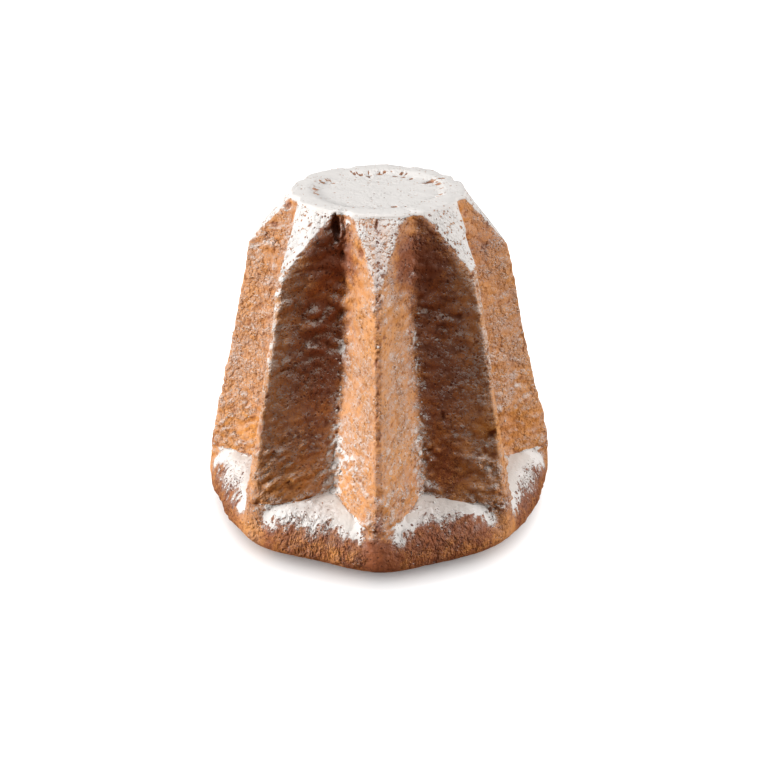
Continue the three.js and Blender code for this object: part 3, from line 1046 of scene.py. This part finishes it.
@dataclass
class Crust:
    """The whole crust with its relief, and where icing sugar lies on it.

    The front and the sides are angles from azimuth 0. A ridge's corner is a share of the way to a
    valley. A pit changes some rows of the grid up and down, and its rim is a share of its depth. A
    pore's size is a least size and what chance adds. The ring's place is how far outside the recess
    its pores lie, and how far they scatter.
    """

    shape: LoafShape
    grid: CrustGrid
    unit: float
    marks: Marks = Marks()
    ripples: Ripples = Ripples()
    dusting: Dusting = Dusting()
    baking: Baking = Baking()
    erosion: float = 0.7
    heap_height: float = 0.45
    heap_crumbs: float = 1.1
    disc_waves: float = 0.22
    pores: int = 420
    ring_pores: int = 34
    pit_rows: int = 14
    pit_rim: float = 0.16
    disc_pit_growth: Pair = (1.25, 1.2)
    pore_size: Pair = (0.7, 1.0)
    ring_pore_size: Pair = (0.6, 0.7)
    ring_place: Pair = (1.4, 0.9)
    front: float = 0.3
    sides: Pair = (0.3, 0.7)
    corner: Pair = (0.05, 0.35)

    def field(self, patches: tuple[Patch, ...]) -> Array:
        """Returns the sum of patches over the grid."""
        return sum(patch.spread(self.azimuth, self.z, self.radius) for patch in patches)

    def build(self, material: bpy.types.Material) -> bpy.types.Object:
        """Shapes the crust.

        Args:
            material: its finish.

        Returns:
            The crust.
        """
        self.survey()
        offset = self.relief()
        pit = self.sink_pits(offset)
        heaped = self.places + self.normal * (self.heaps * self.heap_height)[..., None]
        self.surface = heaped + self.normal * offset[..., None]
        self.facing = grid_normals(self.surface)
        return finished("pandoro_crust", self.mesh(pit), material)

    def survey(self) -> None:
        """Works out the regular grid and where on the loaf each of its places lies."""
        shape, ripples = self.shape, self.ripples
        self.places, self.azimuth, self.zones = self.grid.levels()
        self.normal = grid_normals(self.places)
        self.z = self.places[..., 2]
        self.radius = np.hypot(self.places[..., 0], self.places[..., 1])
        self.to_valley = shape.angle_from_ridge(self.azimuth) / shape.half_rib
        self.rough, self.fine, self.broad = (
            ripple.bumps(self.places) for ripple in (ripples.rough, ripples.fine, ripples.broad)
        )
        self.heaps = self.field(self.marks.heaps)
        self.bare = self.field(self.marks.bare)
        self.at_front = bell(self.azimuth, 0.0, self.front)
        self.at_corner = fall(self.to_valley, *self.corner)
        self.at_side = step(np.abs(self.azimuth), *self.sides)

        star = shape.star_radius(self.azimuth, self.z) + 0.9 * self.fine + 0.7 * self.rough
        facet = shape.facet_radius(self.azimuth, self.z)
        band = self.zones[:, None] * np.ones_like(self.z)
        self.on_disc = np.where(band >= Zone.RIM.value, 1.0, 0.0)
        self.on_facet = np.where(band >= Zone.RIM.value, 0.0, step(star - facet, -0.9, 1.8))
        edge, foot = shape.shelf_edge[1], shape.valley_foot[1]
        self.out = self.radius - shape.wall_radius(self.azimuth, np.full_like(self.z, foot))
        on_ridge = fall(self.to_valley, 0.12, 0.35)
        climbed = np.where(band <= Zone.BROW.value, on_ridge * step(self.z, edge - 11.0, edge), 1.0)
        on_shelf = on_ridge + (1.0 - on_ridge) * np.clip((self.z - edge) / (foot - edge), 0.0, 1.0)
        self.above = np.where(band == Zone.SHELF.value, on_shelf, climbed)
        self.on_foot = (1.0 - self.above) * step(self.z, 0.0, 3.0)
        self.on_wall = self.above * (1.0 - self.on_disc) * (1.0 - self.on_facet)
        side = step(self.to_valley, 0.12, 0.4) * step(self.z, 8.0, 18.0) * step(self.out, 5.0, 20.0)
        self.stretched = self.on_foot * side

    def relief(self) -> Array:
        """How far the crust lies off its regular form.

        Returns:
            Offsets along the normals in millimetres.
        """
        at, wall, foot, ripples = self.places, self.on_wall, self.on_foot, self.ripples
        patchy = step(ripples.wrinkled.bumps(at), 0.0, 0.35) * 0.35 + self.field(self.marks.crumpled)
        low = fall(self.z, 62.0, 100.0) * wall
        ridge = fall(self.to_valley, 0.02, 0.14)
        valley = step(self.to_valley, 0.8, 0.98)
        offset = ripples.lumps.bumps(at) * (wall + 0.8 * foot + 0.4 * self.on_facet)
        offset += ripples.wrinkles.creases(at) * patchy * wall
        offset += ripples.small_wrinkles.creases(at) * wall
        offset += ripples.hammering.creases(at, 0.35) * low * (1.0 - ridge)
        offset += ripples.pimples.bumps(at) * (wall * (0.55 + 0.6 * valley) + 0.25 * self.on_facet)
        chips = self.erosion * np.minimum(ripples.chips.bumps(at) + 0.05, 0.0)
        offset += chips * ridge * wall * (0.4 + 0.6 * step(ripples.chipped.bumps(at), -0.2, 0.2))
        offset += np.abs(ripples.valley_folds.bumps(at)) * valley * wall
        offset += self.heap_crumbs * self.heaps * self.rough
        offset += ripples.stretch_marks.creases(at) * (0.25 * foot + 0.75 * self.stretched)
        offset += ripples.small_marks.creases(at) * self.stretched
        offset += self.disc_waves * self.fine * self.on_disc * step(self.radius, 6.0, 20.0)
        offset += ripples.rim_waves.bumps(at) * step(self.z, 199.0, 204.0) * step(self.radius, 38.0, 47.0)
        return offset

    def sink_pits(self, offset: Array) -> Array:
        """Sinks the large pores and a scatter of smaller ones into the crust.

        Args:
            offset: offsets along the normals, which are changed.

        Returns:
            How deep in a pore each place lies, from 0 to 1.
        """
        rng = np.random.default_rng(SEED)
        pit = np.zeros_like(offset)
        around = unit_vectors(along_levels(self.places))

        def sink(level: int, column: int, across: float, along: float, into: float) -> None:
            """Sinks one pore and raises its rim a little."""
            rows = slice(max(level - self.pit_rows, 0), level + self.pit_rows + 1)
            away = self.places[rows] - self.places[level, column]
            sideways = away @ around[level, column]
            upward = np.sqrt(np.maximum((away**2).sum(-1) - sideways**2, 0.0))
            share = np.hypot(sideways / across, upward / along) * (1.0 + 0.25 * self.fine[rows])
            share = share + 0.3 * self.rough[rows]
            bowl = np.sqrt(np.clip(1.0 - share**2, 0.0, 1.0))
            offset[rows] += into * (self.pit_rim * bell(share, 1.2, 0.3) - bowl)
            pit[rows] = np.maximum(pit[rows], step(bowl, 0.05, 0.75))

        for one in self.marks.pits:
            turn = self.shape.azimuth_of(one.rib)
            miss = (np.sin((self.azimuth - turn) / 2.0) * 160.0) ** 2 + (self.z - one.z) ** 2
            miss[self.zones <= Zone.BROW.value] += 1e6
            level, column = np.unravel_index(np.argmin(miss), miss.shape)
            sink(level, column, one.across, one.along, one.into)
        disc = np.flatnonzero(self.zones == Zone.DISC.value)
        plan = self.places[disc, :, :2]
        for one in self.marks.disc_pits:
            miss = np.linalg.norm(plan - (one.x, one.y), axis=-1)
            level, column = np.unravel_index(np.argmin(miss), miss.shape)
            across, along = self.disc_pit_growth
            sink(disc[level], column, across * one.across, along * one.along, one.into)
        likely = self.on_wall + 0.5 * self.on_facet + 0.2 * self.on_foot
        chance = likely * self.radius * (0.6 + 0.8 * (self.to_valley < 0.12))
        chosen = rng.choice(chance.size, self.pores, False, (chance / chance.sum()).ravel())
        for place in chosen:
            level, column = np.unravel_index(place, chance.shape)
            size = self.pore_size[0] + self.pore_size[1] * rng.random() ** 3.0
            sink(level, column, size, size * rng.uniform(0.8, 1.5), size * rng.uniform(0.4, 0.75))
        for _ in range(self.ring_pores):
            radius = rng.normal(self.shape.recess_radius + self.ring_place[0], self.ring_place[1])
            level = disc[np.argmin(np.abs(self.radius[disc, 0] - radius))]
            column = rng.integers(self.grid.columns)
            size = self.ring_pore_size[0] + self.ring_pore_size[1] * rng.random() ** 2.0
            sink(level, column, size, size * rng.uniform(1.0, 2.0), size * 0.7)
        return pit

    def sugar(self) -> Array:
        """How readily icing sugar covers each place.

        Returns:
            About 0 where the crust stays bare, 0.3 for dust on a wall, and 1 or more where it is white.
        """
        amount = self.dusting
        # The front facet gets less sugar, partly painted shade.
        facet = amount.facet + amount.fine * self.fine - amount.front_facet_loss * self.at_front
        disc = amount.disc + amount.fine * self.fine - amount.ring_loss * bell(self.radius, *amount.ring)
        cover = mix(self.foot_sugar(), mix(self.wall_sugar(), facet, self.on_facet), self.above)
        cover = mix(cover, disc, self.on_disc)
        up = self.facing[..., 2] - self.normal[..., 2]
        heaped = step(self.heaps * (1.0 + 1.4 * self.rough), 0.4, 1.2)
        return cover + amount.facing_up * up * (1.0 - self.on_disc) + amount.heap * heaped

    def wall_sugar(self) -> Array:
        """Returns how readily sugar covers the walls: more in the low valleys and on the high ridges."""
        amount = self.dusting
        low = fall(self.z, *amount.low_walls)
        valley = step(self.to_valley, amount.valley_edge - amount.valley_widening * low, 1.0)
        high = step(self.z, *amount.high_valley)
        wall = amount.wall + amount.broad * self.broad + amount.fine * self.fine
        # These patches are partly real dust and partly painted shade and painted highlight.
        wall += self.field(self.marks.dust_and_painted_shading)
        wall += valley * (amount.low_valley * low + 0.25 * self.fine - amount.high_valley_loss * high)
        wall += amount.high_ridge * step(self.z, *amount.high_ridge_up) * fall(self.to_valley, 0.1, 0.45)
        return wall - amount.bare_loss * self.bare * (1.0 + 0.8 * self.fine)

    def foot_sugar(self) -> Array:
        """Returns how readily sugar covers the foot: its brow, and ragged streaks down from it."""
        amount = self.dusting
        far = step(np.abs(self.azimuth), *amount.away_from_front)
        left = fall(self.azimuth, *amount.left)
        streak = self.ripples.streaks.bumps(self.places)
        (near, more), (fine, streaky) = amount.brow_reach, amount.brow_ragged
        reach = near + more * self.to_valley**2 + far + fine * self.fine + streaky * streak
        fade = amount.brow_fade + amount.fade_behind * far + amount.fade_left * left * (1.0 - far)
        drop = amount.brow_drop_behind * far
        caught = fall(self.out / reach, amount.brow_full, fade)
        caught *= step(self.z, amount.brow_up[0] - drop, amount.brow_up[1] - drop)
        caught *= step(self.to_valley + 0.05 * self.fine, *amount.brow_aside)
        flecks = np.clip(streak, 0.0, 1.0) * step(self.z, 6.0, 18.0) * left
        foot = amount.foot - amount.underside_loss * fall(self.z, 4.0, 12.0)
        foot += amount.flecks * flecks + amount.brow * caught
        # Corners to the sides get more sugar, partly painted highlight.
        return foot + amount.corner * self.at_corner * self.at_side

    def bake_and_painted_shading(self) -> Array:
        """How dark the crust is baked, with painted shade on the faces that lie in shade and painted light
        on some crests and corners.

        Returns:
            About 0 for honey-coloured patches, 0.4 for a wall and 0.9 for the foot.
        """
        dark, corner = self.baking, self.at_corner
        # The browned patches are mostly painted shade, and the paler ridge strips a painted highlight.
        wall = dark.wall + dark.wall_broad * self.broad + self.field(self.marks.painted_shading_and_browning)
        wall -= dark.bare_loss * np.clip(self.bare, 0.0, 1.2)
        wall += dark.front_ridge * fall(self.to_valley, 0.0, 0.1) * self.at_front
        # The front facet is darker, partly painted shade.
        wall += (dark.facet + dark.front_facet * self.at_front) * self.on_facet
        wall += dark.ridge_foot * fall(self.z, 38.0, 58.0) * corner
        foot = dark.foot + dark.foot_broad * self.broad - dark.left_loss * fall(self.azimuth, *dark.left)
        # Darker front corner and paler side corners: partly the crust's tan, partly painted shade and
        # light.
        foot += dark.corner * corner - dark.side_corner_loss * corner * self.at_side
        foot += dark.brow * step(self.z, 20.0, 32.0) - dark.underside_loss * fall(self.z, 5.0, 14.0)
        return mix(foot, wall, self.above) + dark.fine * self.fine

    def mesh(self, pit: Array) -> bmesh.types.BMesh:
        """Spins a rail into a closed sleeve and moves its vertices to their places.

        Args:
            pit: how deep in a pore each place lies.

        Returns:
            The crust's shape, in metres.
        """
        levels, columns = self.surface.shape[:2]
        fields = {"sugar": self.sugar(), "bake_and_painted_shading": self.bake_and_painted_shading(), "torn": self.stretched, "pit": pit}
        shape = bmesh.new()
        rail = [shape.verts.new((1.0, 0.0, float(level))) for level in range(levels)]
        edges = [shape.edges.new(pair) for pair in zip(rail, rail[1:])]
        around = {"axis": (0, 0, 1), "angle": math.tau, "steps": columns}
        bmesh.ops.spin(shape, geom=rail + edges, use_merge=True, **around)
        layers = {name: shape.verts.layers.float.new(name) for name in fields}
        for vertex in shape.verts:
            level = round(vertex.co.z)
            column = round(math.atan2(vertex.co.y, vertex.co.x) / math.tau * columns) % columns
            vertex.co = self.surface[level, column] * self.unit
            for name, layer in layers.items():
                vertex[layer] = fields[name][level, column]
        bmesh.ops.remove_doubles(shape, verts=shape.verts, dist=MERGE_DISTANCE)
        bmesh.ops.recalc_face_normals(shape, faces=shape.faces)
        return shape


@dataclass
class SugarDrifts:
    """Icing sugar that lies smooth and thick on the shelves between the ribs.

    Each drift is a sheet from under the wall outwards, which dips under the shelf where it ends.
    """

    shape: LoafShape
    unit: float
    depth: float = 0.8
    across: int = 110
    outward: int = 44
    width: float = 0.92
    outer_radius: float = 98.0
    under_wall: float = 2.2
    thickness: float = 1.6
    lowest: float = -1.4
    heave_size: float = 9.0
    heave_seed: float = 20.0
    small_heave: Ripple = Ripple(3.0, 21.0, 0.6)
    edge_waves: Ripple = Ripple(12.0, 22.0, 2.0)
    side_reach: float = 2.8
    middle_reach: float = 9.6
    side_fade: float = 0.92
    far_reach: float = 7.0
    crumbs: Ripple = Ripple(1.5, 23.0, 0.25)

    def build(self, material: bpy.types.Material) -> bpy.types.Object:
        """Shapes all eight drifts as one piece.

        Args:
            material: their finish.

        Returns:
            The drifts.
        """
        drifts = bmesh.new()
        for rib in range(self.shape.ribs):
            self.add_drift(drifts, rib + 0.5)
        bmesh.ops.recalc_face_normals(drifts, faces=drifts.faces)
        return finished("shelf_sugar_drifts", drifts, material)

    def add_drift(self, drifts: bmesh.types.BMesh, valley: float) -> None:
        """Adds the drift in one valley.

        Args:
            drifts: where it goes.
            valley: its place, in ribs.
        """
        made = bmesh.ops.create_grid(drifts, x_segments=self.across, y_segments=self.outward, size=0.5)
        flat = np.array([vertex.co for vertex in made["verts"]])
        for vertex, place in zip(made["verts"], self.top(valley, flat[:, 0] * 2.0, flat[:, 1] + 0.5)):
            vertex.co = place * self.unit
        faces = list({face for vertex in made["verts"] for face in vertex.link_faces})
        under = bmesh.ops.extrude_face_region(drifts, geom=faces, use_keep_orig=True)
        lower = [part for part in under["geom"] if isinstance(part, bmesh.types.BMVert)]
        bmesh.ops.translate(drifts, verts=lower, vec=(0.0, 0.0, -self.thickness * self.unit))

    def top(self, valley: float, side: Array, share: Array) -> Array:
        """The top of one drift.

        Args:
            valley: its place, in ribs.
            side: how far to a side each place lies, from -1 to 1.
            share: how far out each place lies, from 0 to 1.

        Returns:
            Places in millimetres.
        """
        shape = self.shape
        azimuth = shape.azimuth_of(valley + self.width / 2.0 * side)
        inner = shape.wall_radius(azimuth, np.full_like(azimuth, shape.valley_foot[1])) - self.under_wall
        edge = np.maximum(self.outer_radius, inner + 3.0)
        radius = mix(inner, edge, share)
        places = polar(radius, azimuth, shape.shelf_height(azimuth, radius))
        uneven = Ripple(self.heave_size, self.heave_seed + valley).bumps(places)
        uneven += self.small_heave.bumps(places)
        far = step(np.abs(math.remainder(shape.azimuth_of(valley), math.tau)), 0.6, 1.0)
        reach = self.side_reach + self.middle_reach * (1.0 - self.side_fade * np.abs(side))
        reach += self.far_reach * far
        reach += self.edge_waves.bumps(places * (1.0, 1.0, 0.0))
        out = (radius - inner - self.under_wall) / reach
        room = np.clip((edge - inner - self.under_wall) / 9.0, 0.0, 1.0)
        heap = self.depth * (1.0 - np.clip(out, 0.0, 2.0) ** 1.2) - 1.6 * (1.0 - room) + 0.2 * uneven
        heap += self.crumbs.bumps(places) * step(out, 0.2, 0.8) - 0.4 * fall(out, -0.1, 0.15)
        places[:, 2] += np.maximum(heap, self.lowest)
        return places


@dataclass
class SugarClumps:
    """Crumbs of icing sugar that stuck together, scattered where powder gathers.

    Their widths, thicknesses, corners and lift are shares of their size.
    """

    crust: Crust
    count: int = 1400
    size: Pair = (0.25, 1.0)
    smallness: float = 2.4
    widths: Pair = (0.6, 1.0)
    thicknesses: Pair = (0.5, 0.8)
    corners: Pair = (0.65, 1.3)
    lift: float = 0.25

    def likely(self) -> Array:
        """Returns how likely a clump is at each place: most of all in the low valleys."""
        crust = self.crust
        low = fall(crust.z, 50.0, 130.0)
        valley = bell(crust.to_valley, 1.0, 0.13)
        likely = crust.on_wall * (1.6 * valley * (0.3 + low) + 0.02) * fall(crust.z, 140.0, 170.0)
        likely += 0.4 * crust.on_foot * (crust.z > 33.0) * step(crust.to_valley, 0.3, 0.6)
        return likely * crust.radius * step(crust.facing[..., 2] - crust.normal[..., 2], -0.15, 0.35)

    def build(self, material: bpy.types.Material) -> bpy.types.Object:
        """Scatters the clumps as one piece.

        Args:
            material: their finish.

        Returns:
            The clumps.
        """
        rng = np.random.default_rng(SEED + 1)
        likely = self.likely()
        chosen = rng.choice(likely.size, self.count, False, (likely / likely.sum()).ravel())
        surface = self.crust.surface.reshape(-1, 3)[chosen]
        outward = self.crust.facing.reshape(-1, 3)[chosen]
        scale = Matrix.Scale(self.crust.unit, 4)
        clumps = bmesh.new()
        for place, normal in zip(surface, outward):
            size = mix(*self.size, rng.random() ** self.smallness)
            turn = Matrix.Rotation(rng.uniform(0.0, math.tau), 4, Vector(rng.normal(size=3)).normalized())
            width, thickness = size * rng.uniform(*self.widths), size * rng.uniform(*self.thicknesses)
            stretch = Matrix.Diagonal((size, width, thickness, 1.0))
            centre = Matrix.Translation(Vector(place) + Vector(normal) * size * self.lift)
            matrix = scale @ centre @ turn @ stretch
            made = bmesh.ops.create_icosphere(clumps, subdivisions=1, radius=1.0, matrix=matrix)
            for vertex in made["verts"]:
                vertex.co = matrix.translation.lerp(vertex.co, rng.uniform(*self.corners))
        bmesh.ops.recalc_face_normals(clumps, faces=clumps.faces)
        return finished("sugar_clumps", clumps, material)

# ---- The studio ----


@dataclass(frozen=True)
class SoftLight:
    """A soft light that shines on everything alike, from one side."""

    name: str
    azimuth: float
    elevation: float
    strength: float
    spread: float
    colour: tuple[float, float, float] = (1.0, 1.0, 1.0)

    def place(self, floor: bpy.types.Object, on_floor: bool) -> None:
        """Puts the light into the scene.

        Args:
            floor: the floor that is seen.
            on_floor: whether the light shines on that floor alone, or on all but that.
        """
        light = bpy.data.lights.new(self.name, "SUN")
        light.energy, light.color, light.angle = self.strength, self.colour, math.radians(self.spread)
        lamp = stood(self.name, light)
        tilt = Matrix.Rotation(math.radians(90.0 - self.elevation), 4, "X")
        lamp.matrix_world = Matrix.Rotation(math.radians(self.azimuth), 4, "Z") @ tilt
        receivers = bpy.data.collections.new(self.name + "_receivers")
        receivers.objects.link(floor)
        receivers.collection_objects[0].light_linking.link_state = "INCLUDE" if on_floor else "EXCLUDE"
        lamp.light_linking.receiver_collection = receivers


@dataclass(frozen=True)
class Studio:
    """The floor, the lights and the camera."""

    unit: float
    target: tuple[float, float, float] = (3.1, 0.0, 79.3)
    distance: float = 709.3
    elevation: float = 26.3
    lens: float = 53.37
    sensor: float = 36.0
    sight: float = 50.0
    floor_half: float = 6.0
    floor_shade: float = 0.85
    floor_roughness: float = 0.9
    floor_gloss: float = 0.1
    bounce_shade: tuple[float, float, float] = (0.22, 0.13, 0.08)
    bounce_drop: float = 0.0004
    ambient: float = 0.035
    ambient_shade: tuple[float, float, float] = (1.0, 0.9, 0.8)
    lights: tuple[SoftLight, ...] = (
        SoftLight("left_light", -76.0, 14.0, 4.5, 12.0, (1.0, 0.98, 0.955)),
        SoftLight("right_light", 76.0, 12.0, 2.6, 12.0, (1.0, 0.98, 0.96)),
        SoftLight("top_light", 0.0, 88.0, 1.85, 40.0),
    )
    floor_lights: tuple[SoftLight, ...] = (
        SoftLight("floor_light", 0.0, 90.0, 5.5, 160.0),
        SoftLight("floor_front_light", 0.0, 45.0, 1.3, 40.0),
    )

    def set_up(self) -> None:
        """Builds the studio round the loaf."""
        floor = self.lay_floor("floor", (self.floor_shade,) * 3, 0.0)
        floor.visible_diffuse = floor.visible_glossy = floor.visible_shadow = False
        under = self.lay_floor("floor_underlay", self.bounce_shade, -self.bounce_drop)
        under.visible_camera = False
        for light in self.lights:
            light.place(floor, False)
        for light in self.floor_lights:
            light.place(floor, True)
        world = bpy.data.worlds.new("studio_air")
        world.use_nodes = True
        air = world.node_tree.nodes["Background"]
        air.inputs["Color"].default_value = linear(*self.ambient_shade)
        air.inputs["Strength"].default_value = self.ambient
        bpy.context.scene.world = world
        bpy.context.scene.view_settings.view_transform = "Standard"
        self.place_camera()

    def lay_floor(self, name: str, shade: tuple[float, float, float], height: float) -> bpy.types.Object:
        """Lays a sheet of the floor.

        Args:
            name: the sheet's name.
            shade: its colour.
            height: how high it lies.

        Returns:
            The sheet.
        """
        shape = bmesh.new()
        bmesh.ops.create_grid(shape, x_segments=1, y_segments=1, size=self.floor_half)
        bmesh.ops.translate(shape, verts=shape.verts, vec=(0.0, 0.0, height))
        mesh = bpy.data.meshes.new(name)
        shape.to_mesh(mesh)
        shape.free()
        material = bpy.data.materials.new(name)
        material.use_nodes = True
        shader = material.node_tree.nodes["Principled BSDF"]
        shader.inputs["Base Color"].default_value = linear(*shade)
        shader.inputs["Roughness"].default_value = self.floor_roughness
        shader.inputs["Specular IOR Level"].default_value = self.floor_gloss
        mesh.materials.append(material)
        floor = stood(name, mesh)
        return floor

    def place_camera(self) -> None:
        """Puts the camera where the photograph was taken from."""
        camera = stood("camera", bpy.data.cameras.new("camera"))
        camera.data.lens, camera.data.sensor_width = self.lens, self.sensor
        camera.data.clip_end = self.sight
        rise = math.radians(self.elevation)
        back = Vector((0.0, -math.cos(rise), math.sin(rise))) * self.distance
        camera.location = (Vector(self.target) + back) * self.unit
        camera.rotation_euler = (math.radians(90.0 - self.elevation), 0.0, 0.0)
        bpy.context.scene.camera = camera


def main() -> None:
    """Builds the loaf, its sugar and the studio."""
    logging.basicConfig(level=logging.INFO, format="%(name)s: %(message)s")
    low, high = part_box("pandoro")
    shape = LoafShape()
    unit = (high.z - low.z) / shape.height
    powder = PowderFinish().material()
    crust = Crust(shape, CrustGrid(shape), unit)
    crust.build(CrustFinish().material())
    SugarDrifts(shape, unit).build(powder)
    SugarClumps(crust).build(powder)
    Studio(unit).set_up()


if __name__ == "__main__":
    main()
